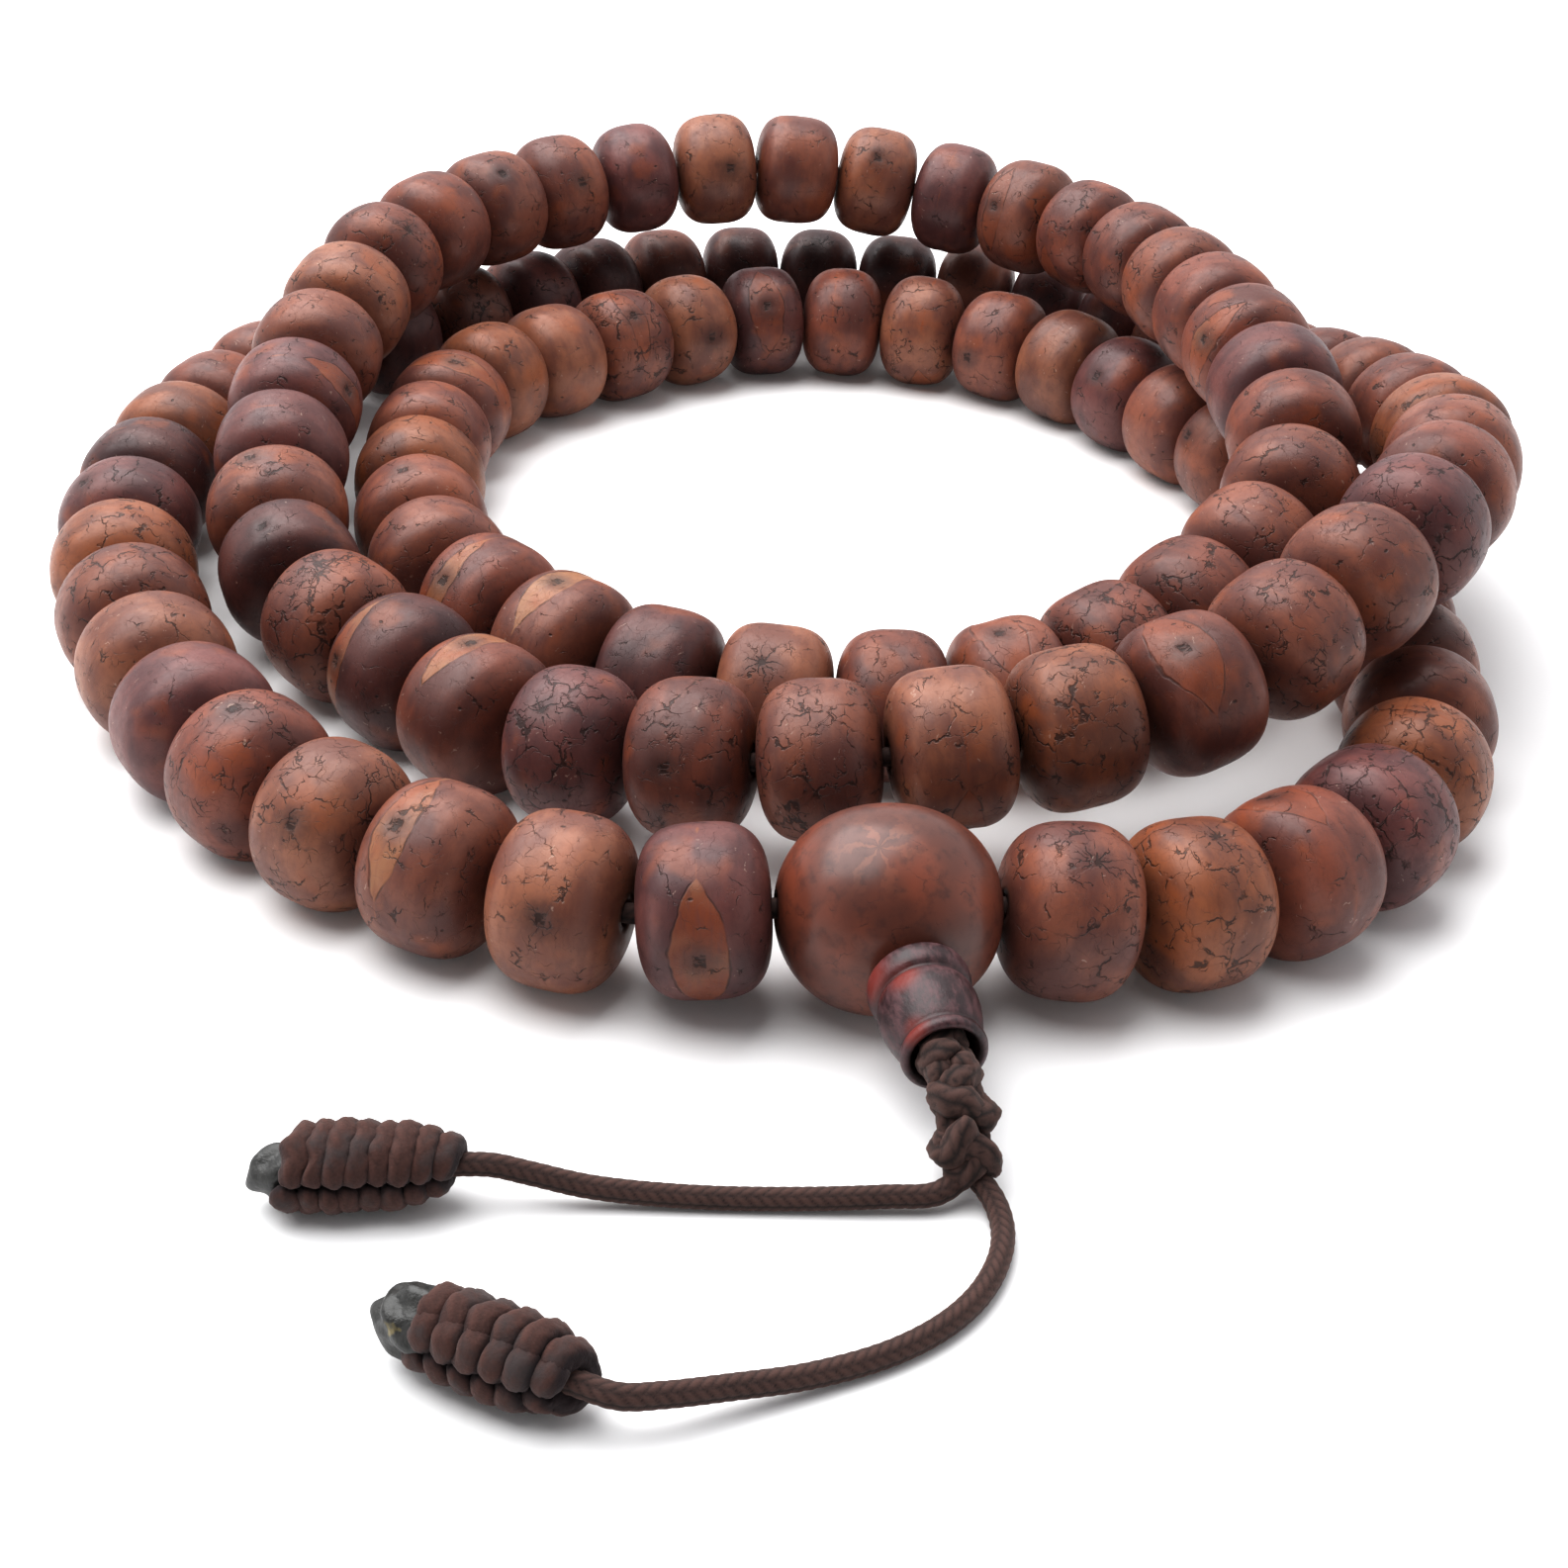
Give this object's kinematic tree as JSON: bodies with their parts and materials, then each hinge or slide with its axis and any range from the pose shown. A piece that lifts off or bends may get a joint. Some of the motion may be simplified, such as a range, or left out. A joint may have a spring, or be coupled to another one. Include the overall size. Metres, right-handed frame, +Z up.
{
  "type": "mala prayer beads",
  "caption": "Mala of round brown seed beads on a knotted cord, coiled in loose turns on a flat surface, with a larger guru bead, a turned tower bead and short knotted tails.",
  "frame": {"origin": "centre of the bottom of the coiled loop, on the surface it lies on, without the two tails", "axes": "+Z up, -Y towards the guru bead and the tails, +X to the right seen from the tails"},
  "size_m": [0.1071, 0.1543, 0.0216],
  "materials": {
    "bodhi_seed": "satin, hand-polished brown seed with dark cracks, pits and pale streaks",
    "guru_seed": "satin, smooth red-brown",
    "rosewood": "satin, turned purplish brown wood",
    "cord": "fine dark brown braid, matt",
    "end_knot": "tightly wrapped dark braid with a melted black tip"
  },
  "bodies": {
    "loop": {"stringing_cord": "cord", "guru_bead": "guru_seed", "beads_005_to_010": "bodhi_seed", "beads_011_to_016": "bodhi_seed", "beads_017_to_022": "bodhi_seed", "beads_023_to_028": "bodhi_seed", "beads_029_to_034": "bodhi_seed", "beads_047_to_052": "bodhi_seed", "beads_067_to_072": "bodhi_seed", "beads_073_to_078": "bodhi_seed", "beads_079_to_084": "bodhi_seed", "beads_085_to_090": "bodhi_seed", "beads_091_to_096": "bodhi_seed", "beads_097_to_102": "bodhi_seed"},
    "bead_001": {"bead_001": "bodhi_seed"},
    "bead_002": {"bead_002": "bodhi_seed"},
    "bead_003": {"bead_003": "bodhi_seed"},
    "bead_004": {"bead_004": "bodhi_seed"},
    "bead_035": {"bead_035": "bodhi_seed"},
    "bead_036": {"bead_036": "bodhi_seed"},
    "bead_037": {"bead_037": "bodhi_seed"},
    "bead_038": {"bead_038": "bodhi_seed"},
    "bead_039": {"bead_039": "bodhi_seed"},
    "bead_040": {"bead_040": "bodhi_seed"},
    "bead_041": {"bead_041": "bodhi_seed"},
    "bead_042": {"bead_042": "bodhi_seed"},
    "bead_043": {"bead_043": "bodhi_seed"},
    "bead_044": {"bead_044": "bodhi_seed"},
    "bead_045": {"bead_045": "bodhi_seed"},
    "bead_046": {"bead_046": "bodhi_seed"},
    "bead_053": {"bead_053": "bodhi_seed"},
    "bead_054": {"bead_054": "bodhi_seed"},
    "bead_055": {"bead_055": "bodhi_seed"},
    "bead_056": {"bead_056": "bodhi_seed"},
    "bead_057": {"bead_057": "bodhi_seed"},
    "bead_058": {"bead_058": "bodhi_seed"},
    "bead_059": {"bead_059": "bodhi_seed"},
    "bead_060": {"bead_060": "bodhi_seed"},
    "bead_061": {"bead_061": "bodhi_seed"},
    "bead_062": {"bead_062": "bodhi_seed"},
    "bead_063": {"bead_063": "bodhi_seed"},
    "bead_064": {"bead_064": "bodhi_seed"},
    "bead_065": {"bead_065": "bodhi_seed"},
    "bead_066": {"bead_066": "bodhi_seed"},
    "bead_103": {"bead_103": "bodhi_seed"},
    "bead_104": {"bead_104": "bodhi_seed"},
    "bead_105": {"bead_105": "bodhi_seed"},
    "bead_106": {"bead_106": "bodhi_seed"},
    "bead_107": {"bead_107": "bodhi_seed"},
    "bead_108": {"bead_108": "bodhi_seed"},
    "drop": {"drop_strands": "cord", "upper_knot": "cord", "lower_knot": "cord"},
    "tower": {"tower_bead": "rosewood"},
    "left_tail": {"left_tail_cord": "cord", "left_end_knot": "end_knot"},
    "front_tail": {"front_tail_cord": "cord", "front_end_knot": "end_knot"}
  },
  "joints": [
    {"name": "bead_001_spin", "type": "hinge", "parent": "loop", "child": "bead_001", "pos_m": [-0.00315, -0.0516, 0.00547], "axis": [-0.9946, -0.0357, -0.0978], "continuous": true},
    {"name": "bead_002_spin", "type": "hinge", "parent": "loop", "child": "bead_002", "pos_m": [-0.0108, -0.05069, 0.00495], "axis": [-0.9621, 0.2705, -0.0334], "continuous": true},
    {"name": "bead_003_spin", "type": "hinge", "parent": "loop", "child": "bead_003", "pos_m": [-0.01809, -0.04791, 0.0048], "axis": [-0.8992, 0.4375, -0.0068], "continuous": true},
    {"name": "bead_004_spin", "type": "hinge", "parent": "loop", "child": "bead_004", "pos_m": [-0.02485, -0.04399, 0.00477], "axis": [-0.8254, 0.5646, -0.0013], "continuous": true},
    {"name": "bead_035_spin", "type": "hinge", "parent": "loop", "child": "bead_035", "pos_m": [0.04472, -0.00882, 0.0153], "axis": [-0.3945, -0.9168, 0.062], "continuous": true},
    {"name": "bead_036_spin", "type": "hinge", "parent": "loop", "child": "bead_036", "pos_m": [0.04122, -0.0158, 0.01536], "axis": [-0.5002, -0.8646, -0.0474], "continuous": true},
    {"name": "bead_037_spin", "type": "hinge", "parent": "loop", "child": "bead_037", "pos_m": [0.0367, -0.02203, 0.01436], "axis": [-0.6553, -0.7261, -0.2084], "continuous": true},
    {"name": "bead_038_spin", "type": "hinge", "parent": "loop", "child": "bead_038", "pos_m": [0.03139, -0.02746, 0.01248], "axis": [-0.7006, -0.6604, -0.2704], "continuous": true},
    {"name": "bead_039_spin", "type": "hinge", "parent": "loop", "child": "bead_039", "pos_m": [0.02526, -0.03182, 0.01061], "axis": [-0.8654, -0.456, -0.2078], "continuous": true},
    {"name": "bead_040_spin", "type": "hinge", "parent": "loop", "child": "bead_040", "pos_m": [0.01818, -0.0348, 0.00929], "axis": [-0.9437, -0.3038, -0.131], "continuous": true},
    {"name": "bead_041_spin", "type": "hinge", "parent": "loop", "child": "bead_041", "pos_m": [0.01065, -0.03667, 0.00831], "axis": [-0.9776, -0.1752, -0.1168], "continuous": true},
    {"name": "bead_042_spin", "type": "hinge", "parent": "loop", "child": "bead_042", "pos_m": [0.00294, -0.03726, 0.00735], "axis": [-0.9912, 0.026, -0.1299], "continuous": true},
    {"name": "bead_043_spin", "type": "hinge", "parent": "loop", "child": "bead_043", "pos_m": [-0.00473, -0.03634, 0.00634], "axis": [-0.9697, 0.2082, -0.1275], "continuous": true},
    {"name": "bead_044_spin", "type": "hinge", "parent": "loop", "child": "bead_044", "pos_m": [-0.01215, -0.03408, 0.00543], "axis": [-0.9234, 0.3694, -0.1048], "continuous": true},
    {"name": "bead_045_spin", "type": "hinge", "parent": "loop", "child": "bead_045", "pos_m": [-0.01858, -0.02995, 0.00488], "axis": [-0.7243, 0.6885, -0.0368], "continuous": true},
    {"name": "bead_046_spin", "type": "hinge", "parent": "loop", "child": "bead_046", "pos_m": [-0.02422, -0.02456, 0.00482], "axis": [-0.7196, 0.6941, 0.0213], "continuous": true},
    {"name": "bead_053_spin", "type": "hinge", "parent": "loop", "child": "bead_053", "pos_m": [-0.03757, 0.02509, 0.01247], "axis": [0.1404, 0.9722, 0.1873], "continuous": true},
    {"name": "bead_054_spin", "type": "hinge", "parent": "loop", "child": "bead_054", "pos_m": [-0.03591, 0.0326, 0.01381], "axis": [0.2818, 0.947, 0.1544], "continuous": true},
    {"name": "bead_055_spin", "type": "hinge", "parent": "loop", "child": "bead_055", "pos_m": [-0.03292, 0.03973, 0.0147], "axis": [0.4814, 0.8733, 0.0751], "continuous": true},
    {"name": "bead_056_spin", "type": "hinge", "parent": "loop", "child": "bead_056", "pos_m": [-0.02864, 0.04625, 0.01511], "axis": [0.6121, 0.7903, 0.0281], "continuous": true},
    {"name": "bead_057_spin", "type": "hinge", "parent": "loop", "child": "bead_057", "pos_m": [-0.02328, 0.05189, 0.01539], "axis": [0.7567, 0.6523, 0.0435], "continuous": true},
    {"name": "bead_058_spin", "type": "hinge", "parent": "loop", "child": "bead_058", "pos_m": [-0.01676, 0.05599, 0.01597], "axis": [0.9129, 0.3947, 0.104], "continuous": true},
    {"name": "bead_059_spin", "type": "hinge", "parent": "loop", "child": "bead_059", "pos_m": [-0.00937, 0.05835, 0.01668], "axis": [0.9745, 0.21, 0.0786], "continuous": true},
    {"name": "bead_060_spin", "type": "hinge", "parent": "loop", "child": "bead_060", "pos_m": [-0.00168, 0.05974, 0.01676], "axis": [0.988, 0.1429, -0.0592], "continuous": true},
    {"name": "bead_061_spin", "type": "hinge", "parent": "loop", "child": "bead_061", "pos_m": [0.00606, 0.06033, 0.01595], "axis": [0.9892, 0.0089, -0.1461], "continuous": true},
    {"name": "bead_062_spin", "type": "hinge", "parent": "loop", "child": "bead_062", "pos_m": [0.01357, 0.05903, 0.01512], "axis": [0.9368, -0.3432, -0.0677], "continuous": true},
    {"name": "bead_063_spin", "type": "hinge", "parent": "loop", "child": "bead_063", "pos_m": [0.02026, 0.05524, 0.01489], "axis": [0.7788, -0.6272, 0.0082], "continuous": true},
    {"name": "bead_064_spin", "type": "hinge", "parent": "loop", "child": "bead_064", "pos_m": [0.02569, 0.04968, 0.01496], "axis": [0.6078, -0.794, 0.0108], "continuous": true},
    {"name": "bead_065_spin", "type": "hinge", "parent": "loop", "child": "bead_065", "pos_m": [0.02965, 0.04299, 0.01506], "axis": [0.4037, -0.9148, 0.0138], "continuous": true},
    {"name": "bead_066_spin", "type": "hinge", "parent": "loop", "child": "bead_066", "pos_m": [0.03232, 0.03565, 0.01517], "axis": [0.2774, -0.9606, 0.0148], "continuous": true},
    {"name": "bead_103_spin", "type": "hinge", "parent": "loop", "child": "bead_103", "pos_m": [0.04239, -0.02276, 0.00475], "axis": [-0.1264, -0.992, 0.0005], "continuous": true},
    {"name": "bead_104_spin", "type": "hinge", "parent": "loop", "child": "bead_104", "pos_m": [0.04033, -0.03023, 0.00479], "axis": [-0.4005, -0.9163, 0.0099], "continuous": true},
    {"name": "bead_105_spin", "type": "hinge", "parent": "loop", "child": "bead_105", "pos_m": [0.03638, -0.03691, 0.00486], "axis": [-0.6102, -0.7922, 0.0094], "continuous": true},
    {"name": "bead_106_spin", "type": "hinge", "parent": "loop", "child": "bead_106", "pos_m": [0.03101, -0.04254, 0.00481], "axis": [-0.762, -0.6472, -0.0218], "continuous": true},
    {"name": "bead_107_spin", "type": "hinge", "parent": "loop", "child": "bead_107", "pos_m": [0.02449, -0.04673, 0.00483], "axis": [-0.9054, -0.4238, 0.0263], "continuous": true},
    {"name": "bead_108_spin", "type": "hinge", "parent": "loop", "child": "bead_108", "pos_m": [0.01712, -0.04909, 0.00536], "axis": [-0.9777, -0.1793, 0.1094], "continuous": true},
    {"name": "drop_swing", "type": "hinge", "parent": "loop", "child": "drop", "pos_m": [0.00844, -0.05665, 0.00532], "axis": [0, 0, 1], "range_deg": [-12, 12]},
    {"name": "tower_spin", "type": "hinge", "parent": "drop", "child": "tower", "pos_m": [0.00844, -0.05665, 0.00532], "axis": [0.2303, -0.9713, -0.0601], "continuous": true},
    {"name": "left_tail_swing", "type": "hinge", "parent": "drop", "child": "left_tail", "pos_m": [0.0097, -0.0685, 0.0009], "axis": [0, 0, 1], "range_deg": [-12, 6]},
    {"name": "front_tail_swing", "type": "hinge", "parent": "drop", "child": "front_tail", "pos_m": [0.0124, -0.0687, 0.0009], "axis": [0, 0, 1], "range_deg": [-6, 20]}
  ]
}
